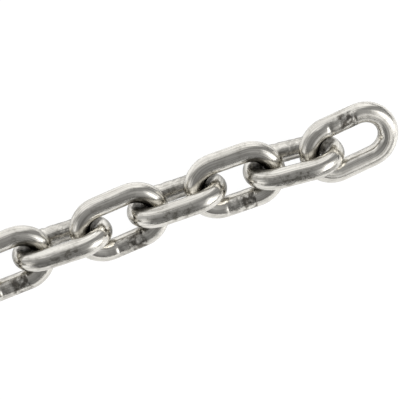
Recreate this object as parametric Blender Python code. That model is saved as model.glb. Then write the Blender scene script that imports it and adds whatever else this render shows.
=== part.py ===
# A one-metre length of polished stainless short-link chain, lying drawn out on a level floor.
#
# The chain runs along X with its free end at +X. Each link is one closed loop of round bar and
# hangs in its neighbours. Lying loose, the links lean 45 degrees from upright, turn and turn
# about: odd links rest on their near leg (-Y), even links on their far leg (+Y).
import math

import bmesh
import bpy
from mathutils import Matrix, Vector

WIRE_DIAMETER = 0.008
PITCH = 0.024  # inside length of a link, which is also the advance per link of a taut chain
OUTER_WIDTH = 0.0272
LINK_COUNT = 41
LEAN = math.radians(45)

# How far the chain is from taut: the play left between two crowns where they hang together.
CROWN_PLAY = 0.0005
END_LINK_PLAY = 0.0015

# How far each link points off the line of the chain, in degrees, from the free end on. The
# links after these lie in a like gentle wander.
FIRST_HEADINGS = (6.0, -5.0, 0.0, -0.5, 4.0, -1.0, 2.5)
HEADING_WANDER = 2.0
WANDER_STEP = 2.4  # radians of the wander's sine from one link to the next

# The round bar and its bends are made of flat facets. Eight sides put one flat on the floor.
SECTION_SIDES = 8
BEND_SEGMENTS = 8

STAINLESS_STEEL = (0.62, 0.62, 0.60, 1.0)
STEEL_ROUGHNESS = 0.16

WIRE_RADIUS = WIRE_DIAMETER / 2
BEND_RADIUS = OUTER_WIDTH / 2 - WIRE_RADIUS  # centre line of the bar, round each end
BEND_OFFSET = (PITCH + WIRE_DIAMETER) / 2 - BEND_RADIUS  # from a link's middle to a bend's centre
REST_HEIGHT = BEND_RADIUS * math.sin(LEAN) + WIRE_RADIUS


def clear_scene():
    for old in list(bpy.data.objects):
        bpy.data.objects.remove(old)


def steel_material(name):
    material = bpy.data.materials.new(name)
    material.use_nodes = True
    shader = material.node_tree.nodes["Principled BSDF"]
    shader.inputs["Base Color"].default_value = STAINLESS_STEEL
    shader.inputs["Metallic"].default_value = 1.0
    shader.inputs["Roughness"].default_value = STEEL_ROUGHNESS
    return material


def loop_stations():
    """The link's centre line in its own plane, X along it: (point, outward direction, corner radius).

    Each bend begins and ends on a straight leg, where the bar's flats lie on its true surface.
    Round the bend its corners do instead, so the facets keep clear of the next link's.
    """
    on_leg = WIRE_RADIUS / math.cos(math.pi / SECTION_SIDES)
    stations = []
    for end in (1, -1):
        for step in range(BEND_SEGMENTS + 1):
            turn = math.pi * (step / BEND_SEGMENTS - 0.5)
            outward = Vector((math.cos(turn), math.sin(turn), 0)) * end
            centre = Vector((BEND_OFFSET * end, 0, 0))
            corner_radius = on_leg if step in (0, BEND_SEGMENTS) else WIRE_RADIUS
            stations.append((centre + outward * BEND_RADIUS, outward, corner_radius))
    return stations


def section_ring(mesh, point, outward, corner_radius):
    """One ring of the bar's section, with flats facing outward, along the link's normal and between."""
    ring = []
    for side in range(SECTION_SIDES):
        angle = 2 * math.pi * (side + 0.5) / SECTION_SIDES
        across = outward * math.cos(angle) + Vector((0, 0, 1)) * math.sin(angle)
        ring.append(mesh.verts.new(point + across * corner_radius))
    return ring


def link_mesh():
    """One link lying flat in the XY plane about its own middle."""
    mesh = bmesh.new()
    rings = [section_ring(mesh, *station) for station in loop_stations()]
    for ring, following in zip(rings, rings[1:] + rings[:1]):
        for side in range(SECTION_SIDES):
            after = (side + 1) % SECTION_SIDES
            mesh.faces.new((ring[side], ring[after], following[after], following[side]))
    bmesh.ops.recalc_face_normals(mesh, faces=mesh.faces)
    data = bpy.data.meshes.new("link")
    mesh.to_mesh(data)
    mesh.free()
    return data


def heading_of(index):
    """A link's heading in radians, counted from the free end at index 0."""
    if index < len(FIRST_HEADINGS):
        return math.radians(FIRST_HEADINGS[index])
    return math.radians(HEADING_WANDER * math.sin(index * WANDER_STEP))


def link_places():
    """(middle, turn) of each link: each hangs from the one before with its crown's play."""
    places = []
    middle = Vector((0, 0, REST_HEIGHT))
    crown_reach = 2 * (BEND_RADIUS - WIRE_RADIUS)
    for index in range(LINK_COUNT):
        heading = heading_of(index)
        away = Vector((-math.cos(heading), -math.sin(heading), 0))
        if places:
            play = END_LINK_PLAY if index == 1 else CROWN_PLAY
            between = (away_before + away).normalized()
            middle = middle + (away_before + away) * BEND_OFFSET + between * (crown_reach - play)
        lean = LEAN if index % 2 == 0 else -LEAN
        turn = Matrix.Rotation(heading, 4, "Z") @ Matrix.Rotation(lean, 4, "X")
        places.append((middle, turn))
        away_before = away
    return places


def bottom_centre(links):
    """Middle of the links' bounding box on the floor."""
    corners = [link.matrix_world @ vertex.co for link in links for vertex in link.data.vertices]
    low = Vector(min(corner[axis] for corner in corners) for axis in range(3))
    high = Vector(max(corner[axis] for corner in corners) for axis in range(3))
    return Vector(((low.x + high.x) / 2, (low.y + high.y) / 2, low.z))


def build_chain():
    clear_scene()
    chain = bpy.data.objects.new("chain", None)
    bpy.context.scene.collection.objects.link(chain)
    shape = link_mesh()
    links = []
    for index, (middle, turn) in enumerate(link_places()):
        name = f"link_{index + 1:02d}"
        data = shape.copy()
        data.name = name
        data.materials.append(steel_material(name))
        link = bpy.data.objects.new(name, data)
        link.parent = chain
        link.matrix_local = Matrix.Translation(middle) @ turn
        bpy.context.scene.collection.objects.link(link)
        links.append(link)
    bpy.context.view_layer.update()
    chain.location = -bottom_centre(links)
    bpy.context.view_layer.update()
    return links


build_chain()
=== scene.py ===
import math

import bpy
import numpy as np
from mathutils import Matrix, Vector


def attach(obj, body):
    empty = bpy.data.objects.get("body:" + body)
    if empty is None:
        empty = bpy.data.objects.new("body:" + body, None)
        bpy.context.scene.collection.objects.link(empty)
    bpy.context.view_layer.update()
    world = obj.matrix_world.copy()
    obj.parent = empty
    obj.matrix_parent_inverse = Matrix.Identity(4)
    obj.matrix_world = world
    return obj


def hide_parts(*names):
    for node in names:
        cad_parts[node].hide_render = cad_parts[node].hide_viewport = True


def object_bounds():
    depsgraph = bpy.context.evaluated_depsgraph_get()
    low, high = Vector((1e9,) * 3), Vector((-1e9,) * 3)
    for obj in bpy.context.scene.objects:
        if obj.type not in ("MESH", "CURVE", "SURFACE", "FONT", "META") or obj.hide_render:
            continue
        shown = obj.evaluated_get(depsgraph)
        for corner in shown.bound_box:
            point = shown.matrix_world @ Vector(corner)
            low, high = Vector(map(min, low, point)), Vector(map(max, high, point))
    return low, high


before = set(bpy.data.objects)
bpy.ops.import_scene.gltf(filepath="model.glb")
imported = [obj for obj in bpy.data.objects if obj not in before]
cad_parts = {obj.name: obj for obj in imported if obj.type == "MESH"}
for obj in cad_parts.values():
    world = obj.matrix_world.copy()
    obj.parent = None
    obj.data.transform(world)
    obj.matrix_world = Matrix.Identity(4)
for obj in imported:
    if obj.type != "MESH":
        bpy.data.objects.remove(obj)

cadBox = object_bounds()
linkNames = sorted(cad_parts)
print("frame loaded,", len(linkNames), "links")

black = (0, 0, 0, 1)
white = (1, 1, 1, 1)


def deselectAll():
    if bpy.context.object and bpy.context.object.mode != "OBJECT":
        bpy.ops.object.mode_set(mode="OBJECT")
    bpy.ops.object.select_all(action="DESELECT")


class Flow:
    # a node's output: arithmetic on it adds the Math nodes
    def __init__(self, graph, socket):
        self.graph = graph
        self.socket = socket

    def math(self, operation, first, second):
        return self.graph.node("ShaderNodeMath", {"operation": operation}, {0: first, 1: second})

    def __add__(self, other):
        return self.math("ADD", self, other)

    def __sub__(self, other):
        return self.math("SUBTRACT", self, other)

    def __rsub__(self, other):
        return self.math("SUBTRACT", other, self)

    def __mul__(self, other):
        return self.math("MULTIPLY", self, other)

    __radd__ = __add__

    def absolute(self):
        return self.math("ABSOLUTE", self, 0)


class Graph:
    def __init__(self, tree):
        self.tree = tree
        tree.nodes.clear()

    def node(self, kind, settings, inputs, output=0):
        made = self.tree.nodes.new(kind)
        for key, value in settings.items():
            setattr(made, key, value)
        for key, value in inputs.items():
            if isinstance(value, Flow):
                self.tree.links.new(value.socket, made.inputs[key])
            else:
                made.inputs[key].default_value = value
        return Flow(self, made.outputs[output]) if len(made.outputs) else None

    def vector(self, operation, first, second, output):
        return self.node("ShaderNodeVectorMath", {"operation": operation}, {0: first, 1: second}, output)

    def dot(self, first, second):
        return self.vector("DOT_PRODUCT", first, second, "Value")

    def stretch(self, vector, factors):
        return self.vector("MULTIPLY", vector, factors, "Vector")

    def noise(self, vector, scale, detail):
        inputs = {"Vector": vector, "Scale": scale, "Detail": detail}
        return self.node("ShaderNodeTexNoise", {}, inputs, "Fac")

    def patches(self, vector, pattern):
        scale, detail, start, end = pattern
        return self.fade(self.noise(vector, scale, detail), start, end)

    def attribute(self, name, output="Fac"):
        return self.node("ShaderNodeAttribute", {"attribute_name": name}, {}, output)

    def wrap(self, angle):
        # the same angle between -180 and 180 degrees, in radians
        return self.node("ShaderNodeMath", {"operation": "WRAP"}, {0: angle, 1: math.pi, 2: -math.pi})

    def fade(self, value, start, end):
        # 0 at start and 1 at end, smoothly
        return self.node("ShaderNodeMapRange", {"interpolation_type": "SMOOTHSTEP"}, {
            "Value": value,
            "From Min": start,
            "From Max": end,
        })

    def blend(self, factor, first, second):
        return self.node("ShaderNodeMix", {"data_type": "RGBA"}, {0: factor, 6: first, 7: second}, 2)


def newMaterial(name):
    material = bpy.data.materials.new(name)
    material.use_nodes = True
    return material, Graph(material.node_tree)


# A link is modelled once, flat, about its own middle, in metres. Its weld is on the -Y leg.
linkShape = {
    "barDiameter": 0.008,
    "innerLength": 0.024,
    "outerWidth": 0.0272,
    "barSides": 56,
    "bendSteps": 32,
    "plainLegSteps": 8,
    "weldLegSteps": 96,
    "mergeWithin": 1e-6,
}
barRadius = linkShape["barDiameter"] / 2
bendRadius = linkShape["outerWidth"] / 2 - barRadius  # centre line of the bar, round each end
bendOffset = linkShape["innerLength"] / 2 + barRadius - bendRadius  # from the middle to a bend's centre
girth = 2 * math.pi * bendRadius + 4 * bendOffset  # once round the link, along the bar


def extrudeLeg(length, steps):
    for step in range(steps):
        bpy.ops.mesh.extrude_region_move(TRANSFORM_OT_translate={"value": (length / steps, 0, 0)})


def bendBar(centreX):
    steps = linkShape["bendSteps"]
    bpy.ops.mesh.spin(steps=steps, angle=-math.pi, center=(centreX, 0, 0), axis=(0, 0, 1))


def modelLink():
    deselectAll()
    bpy.ops.mesh.primitive_circle_add(
        vertices=linkShape["barSides"],
        radius=barRadius,
        location=(bendOffset, -bendRadius, 0),
        rotation=(0, math.pi / 2, 0),
    )
    link = bpy.context.object
    link.name = "patternLink"
    bpy.ops.object.transform_apply(location=True, rotation=True, scale=True)
    bpy.ops.object.mode_set(mode="EDIT")
    bpy.ops.mesh.select_all(action="SELECT")
    bendBar(bendOffset)
    extrudeLeg(-2 * bendOffset, linkShape["plainLegSteps"])
    bendBar(-bendOffset)
    extrudeLeg(2 * bendOffset, linkShape["weldLegSteps"])
    bpy.ops.mesh.select_all(action="SELECT")
    bpy.ops.mesh.remove_doubles(threshold=linkShape["mergeWithin"])
    bpy.ops.mesh.normals_make_consistent(inside=False)
    bpy.ops.object.mode_set(mode="OBJECT")
    bpy.ops.object.shade_smooth()
    return link


patternLink = modelLink()
print("link modelled,", len(patternLink.data.vertices), "points")


def pointsOf(mesh):
    points = np.empty(len(mesh.vertices) * 3)
    mesh.vertices.foreach_get("co", points)
    return points.reshape(-1, 3)


def barCoordinates(points):
    # distance along the bar from the -X crown, then across it: outwards in the link's flat, and off it
    x, y, z = points.T
    quarter = math.pi / 2 * bendRadius
    leg = 2 * bendOffset
    beyond = np.abs(x) - bendOffset
    onBend = beyond > 0
    turn = np.arctan2(y, beyond)
    rearBend = np.where(y <= 0, -turn, -turn + 2 * math.pi + 2 * leg / bendRadius) * bendRadius
    frontBend = quarter + leg + (turn + math.pi / 2) * bendRadius
    nearLeg = quarter + x + bendOffset
    farLeg = 3 * quarter + leg + bendOffset - x
    along = np.where(onBend, np.where(x < 0, rearBend, frontBend), np.where(y < 0, nearLeg, farLeg))
    outwards = np.where(onBend, np.hypot(beyond, y), np.abs(y)) - bendRadius
    return np.stack([along, outwards, z], axis=1)


def storeBarSpace(mesh, number):
    # kept at the face corners, so the coordinate can start again where the bar closes on itself
    corners = np.empty(len(mesh.loops), dtype=int)
    mesh.loops.foreach_get("vertex_index", corners)
    values = barCoordinates(pointsOf(mesh))[corners].reshape(-1, 4, 3)
    wrapped = np.ptp(values[:, :, 0], axis=1) > girth / 2
    values[:, :, 0] += np.where(wrapped[:, None] & (values[:, :, 0] < girth / 2), girth, 0)
    values[:, :, 0] += girth * number
    barSpace = mesh.attributes.new("barSpace", "FLOAT_VECTOR", "CORNER")
    barSpace.data.foreach_set("vector", values.ravel())


# The weld's marks, in metres along the leg from its middle, on both flats of the link: a pad that the
# trimming tool left rough, roughest past its blob's start, a cut across its end, and the clamp's dent
# short of it. Spreads are in degrees round the bar from the middle of the flat.
weldLook = {
    "padFrom": -0.0056,
    "padTo": 0.0062,
    "padStart": 0.0016,
    "padEdge": 0.0003,
    "padFaint": 0.4,
    "blobFrom": -0.0016,
    "blobStart": 0.0014,
    "padSpread": 66,
    "spreadEdge": 12,
    "padSink": 0.00014,
    "grain": 0.0019,
    "height": 0.0004,
    "dentPlace": -0.005,
    "dentHalf": 0.0008,
    "dentSpread": 56,
    "dentDepth": 0.0004,
    "cutHalf": 0.0003,
    "cutLeast": 0.3,
    "cutDepth": 0.0001,
    "cutSlant": 0.4,
    "padSlant": 0.1,
    "play": 0.001,
    "shareLeaning": 0.4,
    "leastWeight": 0.004,  # a point of less weight is left out
}


def smooth(value):
    value = np.clip(value, 0, 1)
    return value * value * (3 - 2 * value)


def weighPoints(link, name, weights):
    group = link.vertex_groups.new(name=name)
    for index in np.flatnonzero(weights > weldLook["leastWeight"]):
        group.add([int(index)], float(weights[index]), "REPLACE")


def markPoints(link, name, values):
    marked = link.data.attributes.new(name, "FLOAT", "POINT")
    marked.data.foreach_set("value", values.astype(np.float32))


def markWeld(link, leaning, chance):
    # no two welds are alike
    look = weldLook
    x, y, z = pointsOf(link.data).T
    onLeg = (y < 0) & (np.abs(x) < bendOffset)
    across = y + bendRadius
    fromFlat = np.degrees(np.arctan2(np.abs(across), np.abs(z)))
    x = x - chance.uniform(-1, 1) * look["play"]
    ragged = x + chance.uniform(-1, 1) * look["padSlant"] * across
    pad = smooth((ragged - look["padFrom"]) / look["padStart"])
    pad = pad * smooth((look["padTo"] - ragged) / look["padEdge"])
    blob = smooth((ragged - look["blobFrom"]) / look["blobStart"])
    pad = pad * (look["padFaint"] + (1 - look["padFaint"]) * blob)
    spread = (look["padSpread"] - fromFlat) / look["spreadEdge"]
    pad = pad * smooth(spread) * onLeg
    dent = np.exp(-((x - look["dentPlace"]) / look["dentHalf"]) ** 2)
    dent = dent * smooth(1 - fromFlat / look["dentSpread"]) * onLeg
    slant = chance.uniform(-1, 1) * look["cutSlant"] * across
    slant = slant - chance.uniform(0, 1) * look["play"] / 2
    cut = np.exp(-((x - look["padTo"] - slant) / look["cutHalf"]) ** 2)
    cut = cut * chance.uniform(look["cutLeast"], 1) * smooth(spread + 1) * onLeg
    weighPoints(link, "weldPad", pad)
    weighPoints(link, "weldDent", dent)
    weighPoints(link, "weldCut", cut)
    markPoints(link, "weldMark", np.maximum(pad, cut) * (look["shareLeaning"] if leaning else 1))


# The seats, where a neighbour bears on the inner side of a bend, stay dull and rough, and are painted
# dark: partly the real dull steel, partly painted shade from the neighbour. A seat starts at a distance
# outwards from the bar's centre line, at the +X bend further in than at the -X one. On the leaning links
# it starts further out, most on the half of the bend that the neighbour leans over and shades. It ends at
# a distance along the bar from the crown.
shadedSeatLook = {
    "startRear": -0.0027,
    "startFront": -0.0036,
    "startLeaning": 0.0003,
    "slantLeaning": 0.0019,
    "slantReach": 0.003,
    "slantShift": 0.0015,
    "startEdge": 0.0009,
    "reachFull": 0.006,
    "reachEnd": 0.013,
}


def markShadedSeats(link, leaning, front, rear):
    look = shadedSeatLook
    points = pointsOf(link.data)
    x, y = points.T[:2]
    along, outwards = barCoordinates(points).T[:2]
    fromRear = np.minimum(along, girth - along)
    away = np.where(x > 0, girth / 2 - fromRear, fromRear)
    half = np.clip((look["slantShift"] - np.sign(x) * y) / look["slantReach"], -1, 1)
    start = np.where(x > 0, look["startFront"], look["startRear"])
    if leaning:
        start = look["startLeaning"] + look["slantLeaning"] * half
    # the seat's dark is partly the real dull steel and partly painted shade
    shadedSeat = smooth((start - outwards) / look["startEdge"])
    shadedSeat = shadedSeat * smooth((look["reachEnd"] - away) / (look["reachEnd"] - look["reachFull"]))
    markPoints(link, "shadedSeat", shadedSeat * np.where(x > 0, front, rear))


# On the leaning links the outer side of one leg is worn, dull and blotched. On their welded leg the inner
# side is painted dark brown as painted shade, but for a thin line along it left lighter as a painted
# reflection.
wearAndShadeLook = {
    "edge": 0.0012,
    "wornFrom": 0.0026,
    "shadeFrom": -0.0028,
    "shadeEdge": 0.0009,
    "lightLineShare": 0.9,
    "lightLinePlace": 0.0006,
    "lightLineHalf": 0.0005,
}


def markWearAndShade(link, leaning):
    look = wearAndShadeLook
    x, y, z = pointsOf(link.data).T
    outwards = np.abs(y) - bendRadius
    onLeg = smooth((bendOffset - np.abs(x)) / look["edge"] + 1)
    worn = (y > 0) * smooth((outwards - look["wornFrom"]) / look["edge"]) * onLeg
    # painted shade on the inner side of the welded leg
    shadedInner = (y < 0) * smooth((look["shadeFrom"] - outwards) / look["shadeEdge"])
    # a thin line in it left lighter: a painted reflection
    shadedInner = shadedInner * (1 - look["lightLineShare"] * np.exp(-((z - look["lightLinePlace"]) / look["lightLineHalf"]) ** 2))
    markPoints(link, "worn", worn * leaning)
    markPoints(link, "shadedInner", shadedInner * onLeg * leaning)


# A pattern is its scale, its detail, and where its fade starts and ends. Streaks and lines run along the
# bar, so their scale differs along and across it.
steelLook = {
    "clean": (0.88, 0.855, 0.797, 1),
    "stain": (0.33, 0.312, 0.276, 1),
    # the welded leg's inner side: painted shade
    "innerShade": (0.16, 0.145, 0.12, 1),
    "scale": (0.112, 0.1, 0.084, 1),
    # the seats' colour: partly real dull steel, partly painted shade
    "shadedSeat": (0.07, 0.064, 0.052, 1),
    "stainPattern": (260, 4, 0.46, 0.7),
    "blotchPattern": (420, 3, 0.44, 0.62),
    "mottlePattern": (750, 3, 0.38, 0.66),
    "scalePattern": (480, 3, 0.36, 0.58),
    "streakStretch": (60, 2100, 2100),
    "streakPattern": (1, 3, 0.38, 0.68),
    "lineStretch": (16, 800, 800),
    "lineDetail": 2,
    "bandFade": (0.42, 0.62),
}

# how far each pattern dulls the steel, and how much more where it is mottled
dullShares = {
    "stain": 0.15,
    "stainMottled": 0.25,
    "streak": 0.38,
    "band": 0.22,
    "blotch": 0.3,
    "blotchMottled": 0.6,
    "shadedInner": 0.45,
    "shadedInnerMottled": 0.4,
    "scale": 0.9,
    "shadedSeatMottled": 0.15,
}

# how rough the clean steel is, and how much rougher each pattern makes it
roughShares = {
    "clean": 0.1,
    "stain": 0.08,
    "blotch": 0.06,
    "streak": 0.05,
    "shadedSeat": 0.2,
    "weld": 0.24,
}

# how far each pattern stands out in the bump, the last three where it is mottled too, then the bump's own
# strength and its distance in metres
reliefLook = {
    "streak": 0.5,
    "line": 1.6,
    "mottle": 0.15,
    "weld": 0.6,
    "worn": 0.4,
    "strength": 0.85,
    "distance": 0.00005,
}


def steelMaterial():
    look = steelLook
    dull = dullShares
    rough = roughShares
    relief = reliefLook
    material, graph = newMaterial("polishedSteel")
    bar = graph.attribute("barSpace", "Vector")
    weld, shadedSeat, worn, shadedInner = [graph.attribute(name) for name in ("weldMark", "shadedSeat", "worn", "shadedInner")]
    place = graph.node("ShaderNodeTexCoord", {}, {}, "Object")
    stains = graph.patches(place, look["stainPattern"])
    blotches = graph.patches(place, look["blotchPattern"]) * worn
    mottle = graph.patches(place, look["mottlePattern"])
    streaks = graph.patches(graph.stretch(bar, look["streakStretch"]), look["streakPattern"])
    lines = graph.noise(graph.stretch(bar, look["lineStretch"]), 1, look["lineDetail"])
    bands = graph.fade(lines, *look["bandFade"])
    roughness = rough["clean"] + stains * rough["stain"] + streaks * rough["streak"]
    roughness = roughness + blotches * rough["blotch"]
    roughness = roughness + weld * mottle * rough["weld"] + shadedSeat * rough["shadedSeat"]
    dullness = stains * (dull["stain"] + mottle * dull["stainMottled"])
    dullness = dullness + streaks * dull["streak"] + bands * dull["band"]
    dullness = dullness + blotches * (dull["blotch"] + mottle * dull["blotchMottled"])
    colour = graph.blend(dullness, look["clean"], look["stain"])
    # painted shade on the leaning links' welded leg, with its painted light line
    colour = graph.blend(shadedInner * (dull["shadedInner"] + mottle * dull["shadedInnerMottled"]), colour, look["innerShade"])
    scale = weld * graph.patches(place, look["scalePattern"]) * dull["scale"]
    colour = graph.blend(scale, colour, look["scale"])
    # the seats: painted shade over the real dull steel
    colour = graph.blend(shadedSeat * (1 - mottle * dull["shadedSeatMottled"]), colour, look["shadedSeat"])
    height = streaks * relief["streak"] + lines * relief["line"]
    height = height + mottle * (relief["mottle"] + weld * relief["weld"] + worn * relief["worn"])
    bump = graph.node("ShaderNodeBump", {}, {
        "Height": height,
        "Strength": relief["strength"],
        "Distance": relief["distance"],
    }, "Normal")
    shader = graph.node("ShaderNodeBsdfPrincipled", {}, {
        "Base Color": colour,
        "Metallic": 1.0,
        "Roughness": roughness,
        "Normal": bump,
    })
    graph.node("ShaderNodeOutputMaterial", {}, {"Surface": shader})
    return material


steel = steelMaterial()
print("steel ready")


cornerDigits = 6  # corners that agree to this many decimals of a metre are one corner


def placeOf(node):
    # a link's middle and the way it lies, from its solid's corners, each taken once
    points = np.array([vertex.co for vertex in node.data.vertices])
    points = np.unique(np.round(points, cornerDigits), axis=0)
    middle = points.mean(axis=0)
    axes = np.linalg.svd(points - middle, full_matrices=False)[2]
    along = Vector(axes[0] * np.sign(axes[0][0]))
    normal = Vector(axes[2] * np.sign(axes[2][2]))
    turn = Matrix((along, normal.cross(along), normal)).transposed().to_4x4()
    return Matrix.Translation(Vector(middle)) @ turn


# the bar isn't quite straight or round
waveLook = {
    "grain": 0.007,
    "height": 0.0002,
}
cloudDepth = 2  # how many finer layers a cloud texture has
bothWays = 0.5  # a surface stays put at this value of its texture: lighter spots rise, darker ones sink
oneWay = 0.0


def cloudTexture(name, grain):
    texture = bpy.data.textures.new(name, "CLOUDS")
    texture.noise_scale = grain
    texture.noise_depth = cloudDepth
    return texture


barWaves = cloudTexture("barWaves", waveLook["grain"])
weldRough = cloudTexture("weldRough", weldLook["grain"])


def shapeSurface(link):
    # after the link is laid, so that the textures lie differently on each
    deselectAll()
    link.select_set(True)
    bpy.context.view_layer.objects.active = link
    moves = (
        ("waves", barWaves, "", waveLook["height"], bothWays),
        ("rough", weldRough, "weldPad", weldLook["height"], bothWays),
        ("sink", None, "weldPad", -weldLook["padSink"], oneWay),
        ("dent", None, "weldDent", -weldLook["dentDepth"], oneWay),
        ("cut", None, "weldCut", -weldLook["cutDepth"], oneWay),
    )
    for name, texture, group, strength, level in moves:
        move = link.modifiers.new(name, "DISPLACE")
        move.texture = texture
        move.vertex_group = group
        move.strength = strength
        move.mid_level = level
        bpy.ops.object.modifier_apply(modifier=name)


def leans(number):
    # each second link is called a leaning one: it rests on its far leg, the others on their near leg
    return number % 2 == 0


def weldOnFarLeg(number):
    # the free end link and the leaning links lie with their weld on the far leg
    return number == 1 or leans(number)


# Three links lie turned a little about their own length, against their solids, as the photograph shows:
# one is flatter than the rest and two are steeper. In degrees; a turned link is raised where it would
# sink into the floor.
ownTurns = {
    "link_02": 3.8,
    "link_04": -1.4,
    "link_06": -1.9,
}


def layLink(link, number, name):
    turn = Matrix.Rotation(math.pi if weldOnFarLeg(number) else 0, 4, "X")
    ownTurn = Matrix.Rotation(math.radians(ownTurns.get(name, 0)), 4, "X")
    link.data.transform(placeOf(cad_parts[name]) @ ownTurn @ turn)
    sunk = max(0, -pointsOf(link.data)[:, 2].min())
    link.data.transform(Matrix.Translation((0, 0, sunk)))


def placeLinks():
    for number, name in enumerate(linkNames, start=1):
        link = patternLink.copy()
        link.name = name + "_bar"
        link.data = patternLink.data.copy()
        link.data.name = link.name
        storeBarSpace(link.data, number)
        markWeld(link, leans(number), np.random.default_rng(number))
        markShadedSeats(link, leans(number), front=number > 1, rear=number < len(linkNames))
        markWearAndShade(link, leans(number))
        layLink(link, number, name)
        link.data.materials.append(steel)
        bpy.context.scene.collection.objects.link(link)
        shapeSurface(link)
        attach(link, name)
        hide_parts(name)


placeLinks()
bpy.data.objects.remove(patternLink)
print("links placed,", len(linkNames))


# The camera, from the fit of the photograph: distances in metres, angles in degrees, lens and sensor in
# millimetres.
cameraView = {
    "elevation": 71.3,
    "roll": 19.3,
    "distance": 1.538,
    "lens": 361.2,
    "alongFromEndLink": -0.06108,
    "height": 0.01,
    "shiftUp": -0.00184,
    "sensorWidth": 36,
    "clipStart": 0.1,
    "clipEnd": 100,
}


def addCamera():
    view = cameraView
    elevation = math.radians(view["elevation"])
    roll = math.radians(view["roll"])
    endLink = placeOf(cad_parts["link_01"]).translation
    up = Vector((0, math.sin(elevation), math.cos(elevation)))
    target = Vector((endLink.x + view["alongFromEndLink"], endLink.y, view["height"]))
    target = target + up * view["shiftUp"]
    backward = Vector((0, -math.cos(elevation), math.sin(elevation)))
    turned = Matrix.Rotation(-roll, 3, backward)
    right = turned @ Vector((1, 0, 0))
    up = turned @ up
    camera = bpy.data.objects.new("camera", bpy.data.cameras.new("camera"))
    bpy.context.scene.collection.objects.link(camera)
    camera.matrix_world = Matrix((
        (right.x, up.x, backward.x, target.x + backward.x * view["distance"]),
        (right.y, up.y, backward.y, target.y + backward.y * view["distance"]),
        (right.z, up.z, backward.z, target.z + backward.z * view["distance"]),
        (0, 0, 0, 1),
    ))
    camera.data.lens = view["lens"]
    camera.data.sensor_width = view["sensorWidth"]
    camera.data.clip_start = view["clipStart"]
    camera.data.clip_end = view["clipEnd"]
    bpy.context.scene.camera = camera


addCamera()
print("camera placed")


def addPlane(name, material, middle, width, depth, upright=False):
    deselectAll()
    bpy.ops.mesh.primitive_plane_add(size=1, location=middle)
    plane = bpy.context.object
    plane.name = name
    plane.scale = (width, depth, 1)
    plane.rotation_euler = (math.pi / 2 if upright else 0, 0, 0)
    bpy.ops.object.transform_apply(location=True, rotation=True, scale=True)
    plane.data.materials.append(material)
    return plane


def showInSteelOnly(piece):
    piece.visible_camera = False
    piece.visible_diffuse = False
    piece.visible_shadow = False


# Seen straight on, the floor glows, as a white ground in a bright picture does. In the steel it shows
# as it is lit, with the chain's shadow.
floorLook = {
    "size": 60,
    "lit": {"tone": (0.46, 0.46, 0.46, 1), "glow": 0.15, "roughness": 0.35, "gloss": 1.0},
    "seen": {"tone": (0.04, 0.04, 0.04, 1), "glow": 0.98, "roughness": 1.0, "gloss": 0.5},
}


def glowingPaint(graph, look):
    return graph.node("ShaderNodeBsdfPrincipled", {}, {
        "Base Color": look["tone"],
        "Roughness": look["roughness"],
        "Specular IOR Level": look["gloss"],
        "Emission Color": white,
        "Emission Strength": look["glow"],
    })


def addFloor():
    look = floorLook
    material, graph = newMaterial("paleFloor")
    plain = glowingPaint(graph, look["lit"])
    bright = glowingPaint(graph, look["seen"])
    seen = graph.node("ShaderNodeLightPath", {}, {}, "Is Camera Ray")
    surface = graph.node("ShaderNodeMixShader", {}, {0: seen, 1: plain, 2: bright})
    graph.node("ShaderNodeOutputMaterial", {}, {"Surface": surface})
    floor = addPlane("floor", material, (0, 0, 0), look["size"], look["size"])


# Dark cards past the near side and the free end draw a line along each bar. Their corners are counted
# from the free end and the chain's near side.
cardLook = {
    "height": 0.0002,
    "cards": {
        "nearCard": {"from": (-1.14, -0.59), "to": (0.16, -0.085), "tone": 0.06},
        "lampCard": {"from": (-0.024, -0.085), "to": (0.04, -0.012), "tone": 0.3},
        "endCard": {"from": (0.06, -0.01), "to": (0.7, 0.41), "tone": 0.06},
    },
}


def addCards():
    corner = Vector((cadBox[1][0], cadBox[0][1]))
    for name, look in cardLook["cards"].items():
        low, high = [corner + Vector(look[key]) for key in ("from", "to")]
        material, graph = newMaterial(name)
        dark = graph.node("ShaderNodeBsdfDiffuse", {}, {"Color": (look["tone"],) * 3 + (1,)})
        graph.node("ShaderNodeOutputMaterial", {}, {"Surface": dark})
        middle = (low + high) / 2
        width, depth = high - low
        place = (middle.x, middle.y, cardLook["height"])
        card = addPlane(name, material, place, width, depth)
        showInSteelOnly(card)


# A small soft lamp on the near side, brightest low and to the right, draws a light band along the free
# end link. Left and right are counted from the free end, and the nearness from the chain's near side.
nearLampLook = {
    "left": -0.055,
    "right": 0.03,
    "fullRight": 0.085,
    "nearness": -0.08,
    "low": 0.016,
    "fadeFrom": 0.03,
    "high": 0.16,
    "glow": 1.6,
}


def addNearLamp():
    look = nearLampLook
    left, right, fullRight = [cadBox[1][0] + look[key] for key in ("left", "right", "fullRight")]
    material, graph = newMaterial("lampGlow")
    place = graph.node("ShaderNodeTexCoord", {}, {}, "Object")
    sideways, upwards = [graph.dot(place, axis) for axis in ((1, 0, 0), (0, 0, 1))]
    level = 1 - graph.fade(upwards, look["fadeFrom"], look["high"])
    level = graph.fade(sideways, left, fullRight) * level
    glow = graph.node("ShaderNodeBsdfPrincipled", {}, {
        "Base Color": black,
        "Specular IOR Level": 0.0,
        "Emission Color": graph.blend(level, black, white),
        "Emission Strength": look["glow"],
    })
    clear = graph.node("ShaderNodeBsdfTransparent", {}, {})
    both = graph.node("ShaderNodeAddShader", {}, {0: glow, 1: clear})
    graph.node("ShaderNodeOutputMaterial", {}, {"Surface": both})
    middle = ((left + right) / 2, cadBox[0][1] + look["nearness"], (look["low"] + look["high"]) / 2)
    width, depth = right - left, look["high"] - look["low"]
    lamp = addPlane("nearLamp", material, middle, width, depth, upright=True)
    showInSteelOnly(lamp)


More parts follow.
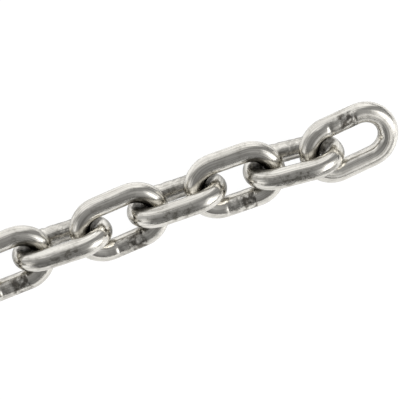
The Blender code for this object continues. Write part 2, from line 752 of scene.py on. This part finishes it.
# The floor's lamp shines from where the right-hand soft box is. The steel mirrors the box and not this
# lamp. Angles are in degrees.
floorLampLook = {
    "azimuth": -38,
    "tilt": 50,
    "angle": 40,
    "strength": 6.5,
}


def addFloorLamp():
    look = floorLampLook
    lamp = bpy.data.objects.new("floorLamp", bpy.data.lights.new("floorLamp", "SUN"))
    lamp.data.energy = look["strength"]
    lamp.data.angle = math.radians(look["angle"])
    lamp.rotation_euler = (0, math.radians(look["tilt"]), math.radians(look["azimuth"]))
    lamp.visible_glossy = False
    lamp.visible_camera = False
    bpy.context.scene.collection.objects.link(lamp)


addFloor()
addCards()
addNearLamp()
addFloorLamp()
print("floor, cards and lamps set")


# Soft light by direction, seen from the chain, in degrees: azimuth is counted from +X towards +Y, and
# tilt from straight up. The sky goes from its overhead strength to its low one, which it has from lowFrom
# on. A window is as wide as its spread and reaches down to the floor from its top, which its lean makes
# higher towards greater azimuths. It fades in over its edge at the sides and over its fall at the top.
# One of negative strength takes light away.
studio = {
    "overhead": 0.3,
    "low": 0.44,
    "lowFrom": 60,
    "windows": {
        "rightBox": dict(azimuth=-36, spread=40, edge=36, top=37, fall=26, lean=0.35, strength=1.7),
        "farWall": dict(azimuth=97, spread=110, edge=22, top=-1, fall=40, lean=0.3, strength=0.55),
        "farBox": dict(azimuth=66, spread=44, edge=24, top=42, fall=30, lean=0, strength=0.2),
        "rightGap": dict(azimuth=14, spread=50, edge=20, top=10, fall=30, lean=0, strength=-0.14),
        "leftBox": dict(azimuth=-164, spread=32, edge=22, top=50, fall=24, lean=0, strength=0.8),
        "nearSide": dict(azimuth=-118, spread=84, edge=44, top=4, fall=56, lean=0, strength=-0.235),
    },
}


def windowOf(graph, azimuth, tilt, window):
    # its strength where it is, and 0 outside it
    offset = graph.wrap(azimuth - math.radians(window["azimuth"]))
    spread, edge, top = [math.radians(window[key]) for key in ("spread", "edge", "top")]
    inside = 1 - graph.fade(offset.absolute(), (spread - edge) / 2, (spread + edge) / 2)
    below = graph.fade(tilt + offset * window["lean"], top, top + math.radians(window["fall"]))
    return inside * below * window["strength"]


def lightStudio():
    look = studio
    world = bpy.data.worlds.new("studio")
    world.use_nodes = True
    graph = Graph(world.node_tree)
    direction = graph.node("ShaderNodeTexCoord", {}, {}, "Generated")
    along, beyond, upwards = [graph.dot(direction, axis) for axis in ((1, 0, 0), (0, 1, 0), (0, 0, 1))]
    azimuth = beyond.math("ARCTAN2", beyond, along)
    tilt = upwards.math("ARCCOSINE", upwards, 0)
    lowered = graph.fade(tilt, 0, math.radians(look["lowFrom"]))
    level = look["overhead"] + lowered * (look["low"] - look["overhead"])
    for window in look["windows"].values():
        level = level + windowOf(graph, azimuth, tilt, window)
    # the picture's own ground stays white past the floor's edge
    seen = graph.node("ShaderNodeLightPath", {}, {}, "Is Camera Ray")
    level = level * (1 - seen) + seen
    light = graph.node("ShaderNodeBackground", {}, {"Color": white, "Strength": level})
    graph.node("ShaderNodeOutputWorld", {}, {"Surface": light})
    bpy.context.scene.world = world
    bpy.context.scene.view_settings.view_transform = "Standard"


lightStudio()
print("studio lit")
